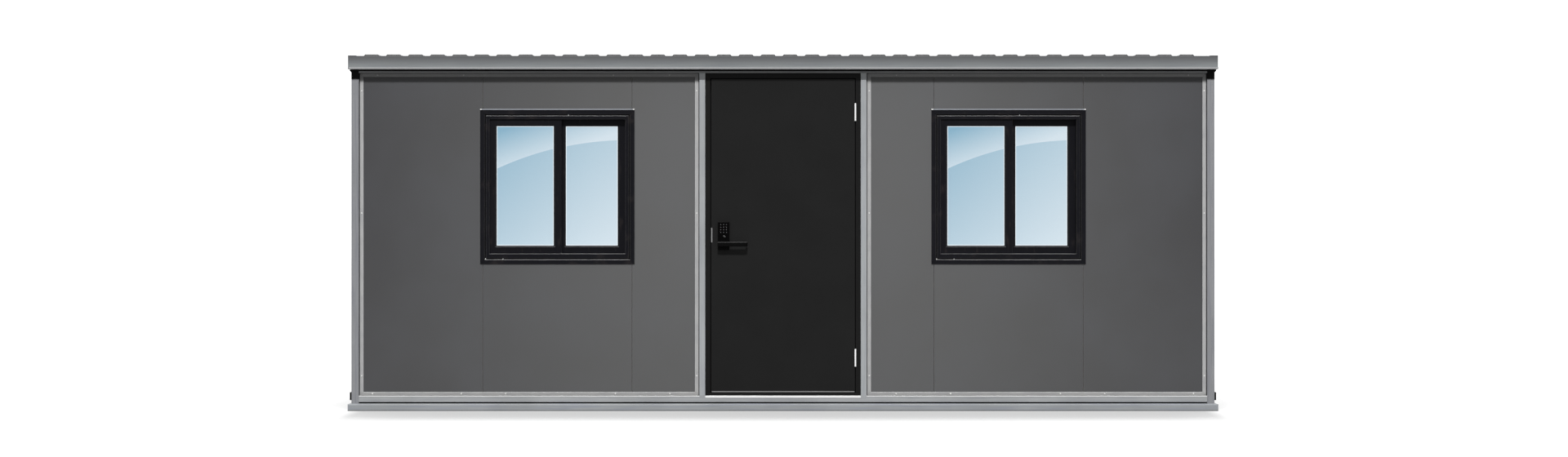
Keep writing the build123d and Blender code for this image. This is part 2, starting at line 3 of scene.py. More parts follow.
import bmesh
import bpy
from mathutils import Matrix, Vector


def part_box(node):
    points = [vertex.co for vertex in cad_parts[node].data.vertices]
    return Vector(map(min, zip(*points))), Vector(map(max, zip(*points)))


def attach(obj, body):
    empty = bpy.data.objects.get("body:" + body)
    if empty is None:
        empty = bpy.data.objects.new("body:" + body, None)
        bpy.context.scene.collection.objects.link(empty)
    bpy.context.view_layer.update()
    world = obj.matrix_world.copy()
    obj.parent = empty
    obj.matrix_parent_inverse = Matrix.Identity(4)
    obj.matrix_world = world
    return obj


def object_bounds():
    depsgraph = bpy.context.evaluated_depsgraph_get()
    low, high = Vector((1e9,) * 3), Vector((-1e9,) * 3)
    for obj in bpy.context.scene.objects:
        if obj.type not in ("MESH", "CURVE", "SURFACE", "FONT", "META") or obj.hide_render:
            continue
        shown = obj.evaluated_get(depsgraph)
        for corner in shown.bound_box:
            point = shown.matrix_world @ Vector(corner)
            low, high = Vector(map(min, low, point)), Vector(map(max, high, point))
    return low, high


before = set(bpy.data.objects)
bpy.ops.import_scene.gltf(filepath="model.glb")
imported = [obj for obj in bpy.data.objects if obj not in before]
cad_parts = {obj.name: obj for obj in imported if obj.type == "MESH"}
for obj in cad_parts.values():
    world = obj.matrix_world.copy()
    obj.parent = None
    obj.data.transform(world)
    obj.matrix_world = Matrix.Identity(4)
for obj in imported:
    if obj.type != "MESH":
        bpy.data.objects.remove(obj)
cad_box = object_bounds()


# Base frame. Channels folded from steel plate with box joists welded between them, sprayed grey
# as one. The paint is thin, so faint blue streaks run along the rails, the foot has gone darker
# and the corners are painted bright, as wear and as painted highlight.
class Term:
    """A node's output in an expression, where an operator adds its Math node."""

    def __init__(self, nodes, socket):
        self.nodes = nodes
        self.socket = socket

    def maths(self, operation, *values):
        """Term of a Math node on these values."""
        return self.nodes.add("ShaderNodeMath", {"operation": operation}, dict(enumerate(values)))

    def __add__(self, other):
        return self.maths("ADD", self, other)

    def __sub__(self, other):
        return self.maths("SUBTRACT", self, other)

    def __rsub__(self, other):
        return self.maths("SUBTRACT", other, self)

    def __mul__(self, other):
        return self.maths("MULTIPLY", self, other)

    def __truediv__(self, other):
        return self.maths("DIVIDE", self, other)

    def __gt__(self, other):
        return self.maths("GREATER_THAN", self, other)

    def __lt__(self, other):
        return self.maths("LESS_THAN", self, other)

    def __abs__(self):
        return self.maths("ABSOLUTE", self)

    __radd__ = __add__
    __rmul__ = __mul__

    def rise(self, start, end):
        """Share that goes smoothly from 0 at the start to 1 at the end."""
        inputs = {"Value": self, "From Min": start, "From Max": end}
        return self.nodes.add("ShaderNodeMapRange", {"interpolation_type": "SMOOTHSTEP"}, inputs)


class Nodes:
    """A tree of nodes, which all come from the one add method."""

    def __init__(self, tree):
        self.tree = tree
        self.tree.nodes.clear()

    def add(self, kind, settings=None, inputs=None, output=0):
        """Add a node, make its settings, set or link its sockets, and give one output.

        A list of terms links them all to one socket.
        """
        node = self.tree.nodes.new(kind)
        for name, value in (settings or {}).items():
            setattr(node, name, value)
        for key, value in (inputs or {}).items():
            if isinstance(value, Term):
                value = [value]
            if isinstance(value, list):
                for term in value:
                    self.tree.links.new(term.socket, node.inputs[key])
            else:
                node.inputs[key].default_value = value
        return Term(self, node.outputs[output]) if len(node.outputs) else None


class Finish(Nodes):
    """A material being made, with the patterns that the cabin's surfaces share."""

    def __init__(self, name):
        self.material = bpy.data.materials.new(name)
        self.material.use_nodes = True
        super().__init__(self.material.node_tree)
        self.place = self.add("ShaderNodeTexCoord", output="Object")

    def along(self, axis):
        """Place of a point along X, Y or Z, in metres."""
        return self.add("ShaderNodeSeparateXYZ", inputs={"Vector": self.place}, output=axis)

    def grain(self, size, stretch=(1, 1, 1), detail=3.0):
        """Noise whose patches are about this size, in metres, and longer where stretched."""
        scale = tuple(1 / (size * share) for share in stretch)
        spot = self.add("ShaderNodeMapping", inputs={"Vector": self.place, "Scale": scale})
        inputs = {"Vector": spot, "Scale": 1.0, "Detail": detail}
        return self.add("ShaderNodeTexNoise", inputs=inputs, output="Fac")

    def blend(self, share, first, second):
        """Colour that goes from the first at a share of 0 to the second at 1."""
        inputs = {0: share, 6: first, 7: second}
        return self.add("ShaderNodeMix", {"data_type": "RGBA"}, inputs, output=2)

    def rounded(self, radius):
        """Normal of a surface whose corners are eased to this radius."""
        return self.add("ShaderNodeBevel", {"samples": 6}, {"Radius": radius})

    def wear_and_highlight(self, eased, upward=0.0):
        """Share that grows from 0 on a flat to 1 at an eased corner, mostly where it looks up, for painted
        highlight and wear.
        """
        flat = self.add("ShaderNodeNewGeometry", output="Normal")
        settings = {"operation": "DOT_PRODUCT"}
        match = self.add("ShaderNodeVectorMath", settings, {0: eased, 1: flat}, output="Value")
        lift = self.add("ShaderNodeSeparateXYZ", inputs={"Vector": eased}, output="Z").rise(-0.1, 0.6)
        return match.rise(0.998, 0.8) * (lift * upward + (1 - upward))

    def eaves_shade(self):
        """Share that grows under the eaves, used to paint shade there."""
        return self.along("Z").rise(eaves_height - 0.1, eaves_height - 0.055)

    def crevice_shade(self, reach):
        """Share that grows from 0 in the open to 1 in gaps and corners narrower than the reach, for painted
        shade.
        """
        settings = {"samples": 6, "only_local": True}
        shade = self.add("ShaderNodeAmbientOcclusion", settings, {"Distance": reach}, output="AO")
        return 1 - shade.rise(0.35, 0.95)

    def bump(self, height, depth, normal=None):
        """Normal of a surface that is raised by up to this depth, in metres."""
        inputs = {"Height": height, "Distance": depth}
        if normal:
            inputs["Normal"] = normal
        return self.add("ShaderNodeBump", inputs=inputs)

    def surface(self, sockets):
        """Close the tree with its shader, and give the material."""
        shader = self.add("ShaderNodeBsdfPrincipled", inputs=sockets)
        self.add("ShaderNodeOutputMaterial", inputs={"Surface": shader})
        return self.material


def tone(*levels):
    """Colour from one grey level or three levels, of 255, as they look on a screen."""
    shares = [level / 255 for level in (levels * 3 if len(levels) == 1 else levels)]
    linear = [s / 12.92 if s <= 0.04045 else ((s + 0.055) / 1.055) ** 2.4 for s in shares]
    return (*linear, 1.0)


def dress(material, *names):
    """Give CAD nodes their material."""
    for name in names:
        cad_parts[name].data.materials.clear()
        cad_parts[name].data.materials.append(material)


def sprayed_steel(name, paint, streak, run, gloss=0.45, corner=0.0015):
    """Paint on folded steel, streaked along its run, with orange peel and corners painted bright, as wear
    and painted highlight.
    """
    finish = Finish(name)
    eased = finish.rounded(corner)
    streaks = finish.grain(0.012, run).rise(0.42, 0.68)
    patches = finish.grain(0.35).rise(0.3, 0.7)
    colour = finish.blend(streaks * 0.7, paint, streak)
    colour = finish.blend(patches * 0.2, colour, tone(92, 95, 97))
    # Eased corners painted bright: partly wear, partly painted highlight.
    colour = finish.blend(finish.wear_and_highlight(eased) * 0.55, colour, tone(212, 214, 215))
    return finish, {
        "Base Color": colour,
        "Roughness": streaks * 0.1 + gloss,
        "Specular IOR Level": 0.35,
        "Normal": finish.bump(finish.grain(0.0022, detail=1.0), 0.00012, eased),
    }


base_tone, base_streak = tone(150, 153, 155), tone(138, 142, 152)
base_paint, base_sockets = sprayed_steel("base_paint", base_tone, base_streak, (26, 26, 1))
splash_height = 0.014
splash = 1 - base_paint.along("Z").rise(0.0, splash_height)
base_sockets["Base Color"] = base_paint.blend(splash * 0.45, base_sockets["Base Color"], tone(90, 92, 94))
dress(
    base_paint.surface(base_sockets),
    "base_rail_front",
    "base_rail_back",
    "base_rail_left",
    "base_rail_right",
)

joist_paint, joist_sockets = sprayed_steel("joist_paint", tone(122), tone(104), (1, 26, 1))
dress(joist_paint.surface(joist_sockets), "floor_joists")


# Floor. Fibre-cement boards laid on the joists and sealed with a thin grey coat, in which the
# pressed fibres still show and feet have left a worn middle.
board = Finish("floor_board")
board_fibres = board.grain(0.004, (7, 1, 1), detail=5.0)
board_wear = board.grain(0.6).rise(0.35, 0.7)
board_colour = board.blend(board_fibres.rise(0.3, 0.7), tone(148, 143, 133), tone(120, 116, 108))
dress(
    board.surface(
        {
            "Base Color": board.blend(board_wear * 0.35, board_colour, tone(166, 161, 150)),
            "Roughness": board_wear * 0.12 + 0.62,
            "Normal": board.bump(board_fibres, 0.0002),
        }
    ),
    "floor_deck",
)


# Rubber and corner blocks. Extruded black strips bed the walls on the base and close the foot of
# each end wall, and moulded black blocks part the posts from the roof. Road dust dulls them.
def black_moulding(name, black, dust, grit):
    """Matt black rubber or plastic with dust in patches."""
    finish = Finish(name)
    eased = finish.rounded(0.0012)
    dusty = finish.grain(0.05).rise(0.45, 0.8)
    return finish.surface(
        {
            "Base Color": finish.blend(dusty * 0.4, tone(black), tone(dust)),
            "Roughness": dusty * 0.15 + 0.6,
            "Specular IOR Level": 0.06,
            "Normal": finish.bump(finish.grain(grit, detail=2.0), 0.00015, eased),
        }
    )


dress(black_moulding("black_rubber", 6, 30, 0.0016), "wall_seals", "end_foot_seals")
dress(black_moulding("black_block", 10, 26, 0.003), "corner_blocks")


# Wall frame. Box sections of folded steel at the corners, along the foot and head of each wall
# and beside the doorway, in the same thin grey paint, with streaks down the uprights. Under the
# eaves the rails are painted darker, as painted shade.
eaves_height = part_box("roof_fascia_front")[0].z
post_tone, post_streak = tone(136, 137, 140), tone(121, 122, 129)
corner_paint, corner_sockets = sprayed_steel("corner_uprights", post_tone, post_streak, (1, 1, 26))
dress(corner_paint.surface(corner_sockets), "corner_posts_front", "corner_posts_back")
post_tone, post_streak = tone(162, 165, 167), tone(152, 155, 160)
upright_paint, upright_sockets = sprayed_steel("door_uprights", post_tone, post_streak, (1, 1, 26))
dress(upright_paint.surface(upright_sockets), "door_post_left", "door_post_right")

rail_tone, rail_streak = tone(160, 162, 163), tone(148, 150, 154)
rail_paint, rail_sockets = sprayed_steel("frame_rails", rail_tone, rail_streak, (26, 26, 1))
# Rails painted darker under the eaves, as painted shade.
rail_eaves_shade = rail_paint.eaves_shade() * 0.6
rail_sockets["Base Color"] = rail_paint.blend(rail_eaves_shade, rail_sockets["Base Color"], tone(70))
dress(
    rail_paint.surface(rail_sockets),
    "front_bottom_rail",
    "front_top_rail",
    "back_wall_rails",
    "left_end_rails",
    "right_end_rails",
)


# Wall panels. Insulated panels, whose outer skin is satin grey coated steel with a fine embossed
# grain and the slight waves of thin sheet, and whose inner skin is plain white. The outer skin
# is painted lighter near the doorway than at the far corners, as a painted sheen.
skin = Finish("panel_paint")
skin_x, skin_y = abs(skin.along("X")), abs(skin.along("Y"))
skin_depth = 0.001
on_long_wall = skin_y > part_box("back_panels")[1].y - skin_depth
on_end_wall = skin_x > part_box("right_end_panels")[1].x - skin_depth
outside = skin_y.maths("MAXIMUM", on_long_wall, on_end_wall)
# Painted sheen: lighter near the middle of each long wall, darker towards the far corners.
skin_sheen_falloff = skin_x.rise(0.5, 3.4)
skin_mottle = skin.grain(0.5).rise(0.25, 0.75)
skin_fine = skin.grain(0.0025, detail=2.0)
skin_foot = 1 - skin.along("Z").rise(0.2, 1.5)
skin_grey = skin.blend(skin_sheen_falloff, tone(91), tone(58, 58, 60))
skin_grey = skin.blend(skin_foot * 0.3, skin_grey, tone(78))
skin_grey = skin.blend(skin_mottle * 0.12, skin_grey, tone(100, 103, 110))
skin_white = skin.blend(skin_mottle * 0.3, tone(222, 221, 216), tone(205, 204, 198))
skin_waves = skin.grain(0.28, (1, 1, 3), detail=1.0)
skin_eased = skin.rounded(0.002)
# Panel tops painted darker under the eaves, as painted shade.
skin_grey = skin.blend(skin.eaves_shade() * 0.6, skin_grey, tone(40))
# Seam edges painted pale, as painted highlight.
skin_grey = skin.blend(skin.wear_and_highlight(skin_eased) * 0.5, skin_grey, tone(170))
dress(
    skin.surface(
        {
            "Base Color": skin.blend(outside, skin_white, skin_grey),
            "Roughness": skin_mottle * 0.08 + 0.5,
            "Specular IOR Level": 0.25,
            "Normal": skin.bump(skin_fine, 0.00012, skin.bump(skin_waves, 0.0012, skin_eased)),
        }
    ),
    "front_left_panels",
    "front_right_panels",
    "back_panels",
    "left_end_panels",
    "right_end_panels",
)


# Wall trims. Flat strips of brushed aluminium round each bay, mitred at the corners and held by
# hexagon-headed screws at uneven steps, as they were driven by hand.
def brushed_strip(name, bright, dull, low, high, width):
    """Brushed metal strips round a bay, brushed along each strip."""
    finish = Finish(name)
    eased = finish.rounded(0.0025)
    middle, reach = (low + high) / 2, (high - low) / 2 - width
    lying = abs(finish.along("Z") - middle) > reach
    brushed = finish.grain(0.0012, (60, 60, 1)) * lying + finish.grain(0.0012, (1, 1, 60)) * (1 - lying)
    stains = finish.grain(0.09).rise(0.35, 0.75)
    colour = finish.blend(brushed.rise(0.3, 0.7), tone(bright), tone(dull))
    colour = finish.blend(stains * 0.3, colour, tone(dull - 24, dull - 23, dull - 18))
    # Eased corners painted bright: partly wear, partly painted highlight.
    colour = finish.blend(finish.wear_and_highlight(eased) * 0.8, colour, tone(232))
    splashed = 1 - finish.along("Z").rise(low, low + width * 1.5)
    colour = finish.blend(splashed * 0.35, colour, tone(112, 111, 108))
    return finish.surface(
        {
            # Painted shade under the eaves.
            "Base Color": finish.blend(finish.eaves_shade() * 0.85, colour, tone(52)),
            "Metallic": 0.25,
            "Roughness": brushed * 0.15 + 0.38,
            "Normal": finish.bump(brushed, 0.00006, eased),
        }
    )


trim_low, trim_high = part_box("front_trims")[0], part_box("front_trims")[1]
trim_width = 0.024
trim_metal = brushed_strip("trim_metal", 172, 156, trim_low.z, trim_high.z, trim_width)
dress(trim_metal, "front_trims", "back_trims", "end_trims")

screw_metal = Finish("screw_metal")
screw_eased = screw_metal.rounded(0.0006)
screw_colour = screw_metal.blend(screw_metal.grain(0.004), tone(228), tone(204, 205, 200))
# Screw heads painted dark under the eaves, as painted shade.
screw_eaves_shade = screw_metal.eaves_shade() * (screw_metal.along("Z") < eaves_height) * 0.85
screw_zinc = screw_metal.surface(
    {
        "Base Color": screw_metal.blend(screw_eaves_shade, screw_colour, tone(64)),
        "Metallic": 0.6,
        "Roughness": screw_metal.grain(0.002) * 0.2 + 0.25,
        "Normal": screw_eased,
    }
)


def start_tree(name, sizes, result):
    """New geometry tree, with a term for each named input, and one output."""
    tree = bpy.data.node_groups.new(name, "GeometryNodeTree")
    for title, kind in sizes.items():
        tree.interface.new_socket(name=title, in_out="INPUT", socket_type=f"NodeSocket{kind}")
    tree.interface.new_socket(name=result, in_out="OUTPUT", socket_type="NodeSocketGeometry")
    nodes = Nodes(tree)
    return nodes, {title: nodes.add("NodeGroupInput", output=title) for title in sizes}


def finish_tree(nodes, placed, metal, result):
    """Make instances real, give them their material, and close the tree."""
    real = nodes.add("GeometryNodeRealizeInstances", inputs={"Geometry": placed})
    made = nodes.add("GeometryNodeSetMaterial", inputs={"Geometry": real, "Material": metal})
    nodes.add("NodeGroupOutput", inputs={result: made})
    return nodes.tree


def hexagon_screws():
    """Tree that sets a hexagon head on a pressed washer at each point, turned to face one way."""
    sizes = {
        "Places": "Geometry",
        "Washer Width": "Float",
        "Head Height": "Float",
        "Facing": "Vector",
        "Metal": "Material",
    }
    nodes, given = start_tree("hexagon_screws", sizes, "Screws")
    radius, height = given["Washer Width"] / 2, given["Head Height"]
    washer_taper, washer_share = 0.86, 0.3
    head_foot, head_top = 0.66, 0.56
    washer = nodes.add(
        "GeometryNodeMeshCone",
        inputs={
            "Vertices": 14,
            "Radius Bottom": radius,
            "Radius Top": radius * washer_taper,
            "Depth": height * washer_share,
        },
    )
    head = nodes.add(
        "GeometryNodeMeshCone",
        inputs={
            "Vertices": 6,
            "Radius Bottom": radius * head_foot,
            "Radius Top": radius * head_top,
            "Depth": height,
        },
    )
    screw = nodes.add("GeometryNodeJoinGeometry", inputs={0: [washer, head]})
    half_flat = {2: 0.0, 3: math.pi / 3, "Seed": 5}
    roll = nodes.add("FunctionNodeRandomValue", {"data_type": "FLOAT"}, half_flat, output=1)
    facing = nodes.add("FunctionNodeAlignRotationToVector", {"axis": "Z"}, {"Vector": given["Facing"]})
    turn = nodes.add("FunctionNodeAxisAngleToRotation", inputs={"Axis": (0, 0, 1), "Angle": roll})
    turns = {"Rotation": facing, "Rotate By": turn}
    turned = nodes.add("FunctionNodeRotateRotation", {"rotation_space": "LOCAL"}, turns)
    placed = nodes.add(
        "GeometryNodeInstanceOnPoints",
        inputs={"Points": given["Places"], "Instance": screw, "Rotation": turned},
    )
    return finish_tree(nodes, placed, given["Metal"], "Screws")


screw_tree = hexagon_screws()


def grow(name, start, tree, values):
    """Plain mesh of what a geometry tree makes from a start mesh."""
    holder = bpy.data.objects.new(name, start)
    bpy.context.scene.collection.objects.link(holder)
    modifier = holder.modifiers.new(name, "NODES")
    modifier.node_group = tree
    for socket in tree.interface.items_tree:
        if socket.name in values:
            modifier[socket.identifier] = values[socket.name]
    made = holder.evaluated_get(bpy.context.evaluated_depsgraph_get())
    solid = bpy.data.meshes.new_from_object(made)
    bpy.data.objects.remove(holder)
    return solid


def ride_piece(name, data, body):
    """Show a finished mesh as a piece that moves with a CAD body."""
    thing = bpy.data.objects.new(name, data)
    bpy.context.scene.collection.objects.link(thing)
    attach(thing, body)


def drive_screws(name, groups, width, height, body):
    """Screw heads at groups of (places, facing), as one mesh."""
    joined = bmesh.new()
    for places, facing in groups:
        points = bpy.data.meshes.new(name)
        points.from_pydata(places, [], [])
        values = {"Washer Width": width, "Head Height": height, "Facing": facing, "Metal": screw_zinc}
        joined.from_mesh(grow(name, points, screw_tree, values))
    data = bpy.data.meshes.new(name)
    joined.to_mesh(data)
    joined.free()
    data.materials.append(screw_zinc)
    ride_piece(name, data, body)


post_edge, post_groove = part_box("door_post_right")[1].x, 0.006
bay_inner = post_edge + post_groove
half_strip = trim_width / 2
foot_line, head_line = trim_low.z + half_strip, trim_high.z - half_strip
front_bay = 2.268
foot_steps = (0.192, 0.557, 1.292, 1.589, 2.184)
head_steps = (0.194, 0.57, 1.573, 2.15)
side_heights = (0.23, 1.32, 2.14)


def bay_screws(start, end):
    """Places round one bay between two distances along a wall, each as (distance, height)."""
    stretch = (end - start) / front_bay
    places = [(start + stretch * step, foot_line) for step in foot_steps]
    places += [(start + stretch * step, head_line) for step in head_steps]
    for side in (start + half_strip, end - half_strip):
        places += [(side, height) for height in side_heights]
    return places


trim_face_y, trim_face_x = trim_low.y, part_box("end_trims")[1].x
end_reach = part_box("end_trims")[1].y
front_places = bay_screws(bay_inner, trim_high.x)
back_places = bay_screws(trim_low.x, trim_high.x)
end_places = bay_screws(-end_reach, end_reach)
trim_groups = [
    ([(x, trim_face_y, z) for x, z in front_places], (0, -1, 0)),
    ([(-x, trim_face_y, z) for x, z in front_places], (0, -1, 0)),
    ([(x, -trim_face_y, z) for x, z in back_places], (0, 1, 0)),
    ([(trim_face_x, y, z) for y, z in end_places], (1, 0, 0)),
    ([(-trim_face_x, y, z) for y, z in end_places], (-1, 0, 0)),
]
trim_screw_width, trim_screw_height = 0.0105, 0.0035
drive_screws("trim_screws", trim_groups, trim_screw_width, trim_screw_height, "cabin")


# Rain lips. The panels stand in a track of bright aluminium, whose lip shows as a thin line along
# the top edge of the bottom rail on every wall. Its bright colour is partly a painted highlight
# of that edge.
def drawn_metal(name, bright, dull, brushing, metallic, smooth, corner):
    """Bright metal with fine lines along its run, and eased corners."""
    finish = Finish(name)
    brush = finish.grain(*brushing)
    return finish.surface(
        {
            "Base Color": finish.blend(brush, bright, dull),
            "Metallic": metallic,
            "Roughness": brush * 0.12 + smooth,
            "Normal": finish.rounded(corner),
        }
    )


def flat_bar(face, out, low, high):
    """Section of a flat strip that stands out from a face, as (across, up) corners."""
    return [(face, low), (face + out, low), (face + out, high), (face, high)]


def drawn_strip(mesh, corners, start, end, axis):
    """Closed strip of one section between two ends, along X (0) or along Y (1)."""
    rings = []
    for place in (start, end):
        ring = []
        for across, up in corners:
            ring.append(mesh.verts.new((place, across, up) if axis == 0 else (across, place, up)))
        rings.append(ring)
    mesh.faces.new(rings[0])
    mesh.faces.new(reversed(rings[1]))
    for step in range(len(corners)):
        after = (step + 1) % len(corners)
        mesh.faces.new((rings[0][step], rings[0][after], rings[1][after], rings[1][step]))


def close_mesh(name, mesh, material):
    """Give a mesh with its faces turned outwards."""
    bmesh.ops.recalc_face_normals(mesh, faces=mesh.faces)
    data = bpy.data.meshes.new(name)
    mesh.to_mesh(data)
    mesh.free()
    data.materials.append(material)
    return data


rail_box, end_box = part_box("front_bottom_rail"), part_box("right_end_rails")
lip_drop, lip_out, lip_rise, lip_end_play = 0.005, 0.0015, 0.002, 0.001
lip_low, lip_high = rail_box[1].z - lip_drop, rail_box[1].z + lip_rise
lip_end = rail_box[1].x - lip_end_play
lips = bmesh.new()
front_lip = flat_bar(rail_box[0].y, -lip_out, lip_low, lip_high)
back_lip = flat_bar(-rail_box[0].y, lip_out, lip_low, lip_high)
drawn_strip(lips, back_lip, -lip_end, lip_end, 0)
for side in (-1, 1):
    drawn_strip(lips, front_lip, side * post_edge, side * lip_end, 0)
    end_lip = flat_bar(side * end_box[1].x, side * lip_out, lip_low, lip_high)
    drawn_strip(lips, end_lip, end_box[0].y, end_box[1].y, 1)
# Bright aluminium, partly a painted highlight on the rail's top edge.
lip_highlight_metal = drawn_metal(
    "lip_metal",
    tone(232),
    tone(208),
    brushing=(0.0012, (60, 60, 1)),
    metallic=0.3,
    smooth=0.3,
    corner=0.0008,
)
ride_piece("rain_lips", close_mesh("rain_lips", lips, lip_highlight_metal), "cabin")


# Doorway. A folded steel frame sprayed black fills the opening between the door posts, and a
# bent strip of bright aluminium under it keeps rain off the bottom rail.
def black_paint(name, black, wear_and_highlight_tone, gloss, corner, shine=0.06, upward=0.5, ledge_highlight=0.0, blue=0):
    """Black powder coat with a fine grain, with painted highlights on up-facing ledges and eased corners,
    partly wear, and painted shade in crevices.
    """
    finish = Finish(name)
    eased = finish.rounded(corner)
    cloud = finish.grain(0.3).rise(0.3, 0.75)
    pale = black + 7
    colour = finish.blend(cloud * 0.3, tone(black, black, black + blue), tone(pale, pale, pale + blue))
    # Painted highlight: up-facing ledges and eased corners go pale.
    lit_ledge = finish.add("ShaderNodeSeparateXYZ", inputs={"Vector": eased}, output="Z").rise(0.2, 0.65)
    colour = finish.blend(finish.wear_and_highlight(eased, upward), colour, tone(wear_and_highlight_tone))
    # Painted shade: crevices go near black.
    colour = finish.blend(finish.crevice_shade(0.02), colour, tone(1))
    return finish, {
        "Base Color": finish.blend(lit_ledge * ledge_highlight, colour, tone(wear_and_highlight_tone)),
        "Roughness": cloud * 0.08 + gloss,
        "Specular IOR Level": shine,
        "Normal": finish.bump(finish.grain(0.0014, detail=2.0), 0.00008, eased),
    }


frame_black, frame_sockets = black_paint("door_frame_paint", 22, 60, gloss=0.5, corner=0.0015)
dress(frame_black.surface(frame_sockets), "door_frame")

bright_strip = drawn_metal(
    "threshold_metal",
    tone(246),
    tone(226),
    brushing=(0.001, (80, 1, 1)),
    metallic=0.35,
    smooth=0.3,
    corner=0.001,
)
dress(bright_strip, "door_threshold")


# Door leaf. A flat steel leaf in satin black paint with a thin aluminium sweep along its foot
# and a stainless latch plate let into its free edge. It hangs on lift-off stainless hinges.
leaf_black, leaf_sockets = black_paint("door_paint", 24, 56, gloss=0.48, corner=0.0015, shine=0.08)
dress(leaf_black.surface(leaf_sockets), "door_leaf")

sweep = drawn_metal(
    "door_sweep_metal",
    tone(132),
    tone(104),
    brushing=(0.001, (80, 1, 1)),
    metallic=0.3,
    smooth=0.36,
    corner=0.0006,
)
dress(sweep, "door_sweep")


def stainless(name, bright, dull, brushing):
    """Stainless steel with the fine lines of its rolling."""
    finish = Finish(name)
    brush = finish.grain(0.0007, brushing)
    return finish.surface(
        {
            "Base Color": finish.blend(brush, tone(bright), tone(dull)),
            "Metallic": 0.8,
            "Roughness": brush * 0.14 + 0.2,
            "Normal": finish.bump(brush, 0.00003, finish.rounded(0.0008)),
        }
    )


dress(stainless("hinge_stainless", 252, 240, (1, 1, 30)), "hinge_halves_fixed", "hinge_halves_moving")
dress(stainless("latch_stainless", 150, 124, (1, 1, 30)), "latch_plate")


# Lock and lever. A black die-cast case with a glossy keypad of twelve lit keys over a slanted
# sensor window, and a square black lever below it on the same spindle as the one inside.
# Top edges of the case and lever carry painted highlights.
case_black, case_sockets = black_paint(
    "lock_case", 2, 70, gloss=0.42, corner=0.002, shine=0.03, upward=0.9, ledge_highlight=0.12
)
dress(case_black.surface(case_sockets), "door_lock")
lever_black, lever_sockets = black_paint(
    "lever_finish", 2, 80, gloss=0.36, corner=0.004, shine=0.04, upward=0.9, ledge_highlight=0.7
)
dress(lever_black.surface(lever_sockets), "door_lever")


def button(mesh, centre, radii, depth, sides=20, lean=0.0):
    """Low round or oval button on the front face, with an eased rim."""
    rings = []
    for share, out in ((1.0, 0.0), (1.0, 0.6), (0.86, 1.0)):
        ring = []
        for step in range(sides):
            angle = math.tau * step / sides
            across, up = radii[0] * share * math.cos(angle), radii[1] * share * math.sin(angle)
            x = centre[0] + across * math.cos(lean) - up * math.sin(lean)
            z = centre[2] + across * math.sin(lean) + up * math.cos(lean)
            ring.append(mesh.verts.new((x, centre[1] - depth * out, z)))
        rings.append(ring)
    for low, high in zip(rings, rings[1:]):
        for step in range(sides):
            after = (step + 1) % sides
            mesh.faces.new((low[step], low[after], high[after], high[step]))
    mesh.faces.new(rings[-1])
    mesh.faces.new(reversed(rings[0]))


lock_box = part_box("door_lock")
lock_middle = (lock_box[0].x + lock_box[1].x) / 2
lock_front = lock_box[0].y
pad_width, pad_low, pad_high = 0.062, 1.145, 1.257
pad_depth, pad_sunk, pad_corner = 0.0012, 0.0005, 0.004
pad_gloss = Finish("keypad_gloss")
pad_face = pad_gloss.surface(
    {
        "Base Color": pad_gloss.blend(pad_gloss.grain(0.02), tone(1), tone(4)),
        "Roughness": pad_gloss.grain(0.03) * 0.08 + 0.12,
        "Specular IOR Level": 0.03,
    }
)
pad = bmesh.new()
pad_left, pad_right = lock_middle - pad_width / 2, lock_middle + pad_width / 2
pad_corners = [(pad_left, pad_low), (pad_right, pad_low), (pad_right, pad_high), (pad_left, pad_high)]
pad_back = [pad.verts.new((x, lock_front + pad_sunk, z)) for x, z in pad_corners]
pad_front = [pad.verts.new((x, lock_front - pad_depth, z)) for x, z in pad_corners]
pad.faces.new(pad_front)
pad.faces.new(reversed(pad_back))
for step in range(4):
    after = (step + 1) % 4
    pad.faces.new((pad_back[step], pad_back[after], pad_front[after], pad_front[step]))
upright_edges = [edge for edge in pad.edges if abs(edge.verts[0].co.y - edge.verts[1].co.y) > pad_depth]
bmesh.ops.bevel(pad, geom=upright_edges, offset=pad_corner, segments=4, affect="EDGES")
ride_piece("lock_keypad", close_mesh("lock_keypad", pad, pad_face), "door")

key_pitch_across, key_pitch_up, key_top = 0.019, 0.017, 1.2425
key_radius, key_depth = 0.0034, 0.0006
sensor_across, sensor_height, sensor_depth = 0.005, 1.1646, 0.0008
sensor_radii, sensor_lean = (0.009, 0.0045), -0.6
pad_face_y = lock_front - pad_depth
key_light = Finish("keypad_keys")
key_face = key_light.surface(
    {
        "Base Color": key_light.blend(key_light.grain(0.004), tone(66), tone(48)),
        "Roughness": key_light.grain(0.002) * 0.2 + 0.35,
    }
)
keys = bmesh.new()
for row in range(4):
    for column in (-1, 0, 1):
        centre = (lock_middle + column * key_pitch_across, pad_face_y, key_top - row * key_pitch_up)
        button(keys, centre, (key_radius, key_radius), key_depth)
sensor_middle = (lock_middle + sensor_across, pad_face_y, sensor_height)
button(keys, sensor_middle, sensor_radii, sensor_depth, 24, sensor_lean)
ride_piece("lock_keys", close_mesh("lock_keys", keys, key_face), "door")


# Windows. Extruded aluminium frames in black, mitred at the corners, with two sashes on their
# tracks. Each pane sits in a rubber gasket and is painted with a sky reflection, pale blue with a curved
# sweep.
window_box = {side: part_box(f"window_{side}_frame") for side in ("left", "right")}
window_x = (window_box["right"][0].x + window_box["right"][1].x) / 2
window_z = (window_box["right"][0].z + window_box["right"][1].z) / 2


def from_middle(finish):
    """Distances along the wall and up from the middle of the window that a point is on."""
    x = finish.along("X")
    return x - x.maths("SIGN", x) * window_x, finish.along("Z") - window_z


